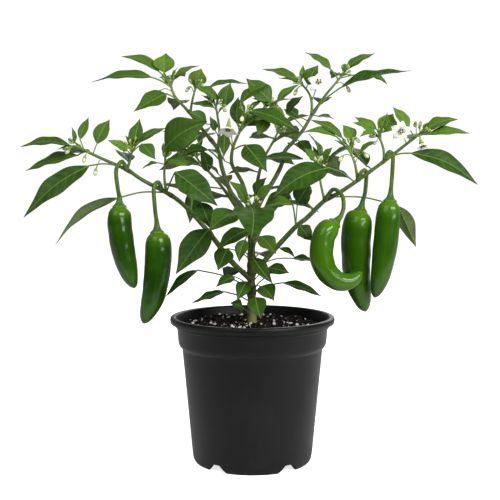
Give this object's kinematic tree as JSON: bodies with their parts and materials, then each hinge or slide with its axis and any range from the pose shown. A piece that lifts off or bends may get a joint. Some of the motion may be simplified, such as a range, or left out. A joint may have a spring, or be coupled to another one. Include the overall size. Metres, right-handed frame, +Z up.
{
  "type": "potted chilli pepper plant",
  "caption": "Bushy chilli pepper plant with leafy forked branches, hooked green fruits and small white flowers, growing in a round ribbed-foot nursery pot of dark potting mix",
  "frame": {"origin": "on the ground under the middle of the pot and of the whole plant's bounding box", "axes": "+Z is up, +X is the plant's right as seen from its front and its longest extent, and -Y faces the front"},
  "size_m": [0.4394, 0.2684, 0.4124],
  "materials": {
    "pot": "matte black injection-moulded plastic",
    "soil": "loose dark peat with white perlite grains",
    "foliage": "satin green leaves and stems",
    "fruit": "glossy deep green skin",
    "stalk": "satin green fruit stalks and calyx caps",
    "petals": "thin white petals",
    "stamens": "yellow-green pistil and olive anthers"
  },
  "bodies": {
    "root": {"pot": "pot", "soil": "soil", "trunk": "foliage", "branch_left_low": "foliage", "branch_left_high": "foliage", "branch_centre": "foliage", "branch_right_high": "foliage", "branch_right_low": "foliage", "branch_front": "foliage", "branch_back": "foliage", "branch_back_left": "foliage", "branch_back_right": "foliage", "chilli_1": "fruit", "chilli_2": "fruit", "chilli_3": "fruit", "chilli_4": "fruit", "chilli_5": "fruit", "chilli_stalk_1": "stalk", "chilli_stalk_2": "stalk", "chilli_stalk_3": "stalk", "chilli_stalk_4": "stalk", "chilli_stalk_5": "stalk", "flower_1": "petals", "flower_2": "petals", "flower_3": "petals", "flower_4": "petals", "stamens_1": "stamens", "stamens_2": "stamens", "stamens_3": "stamens", "stamens_4": "stamens"}
  },
  "joints": []
}
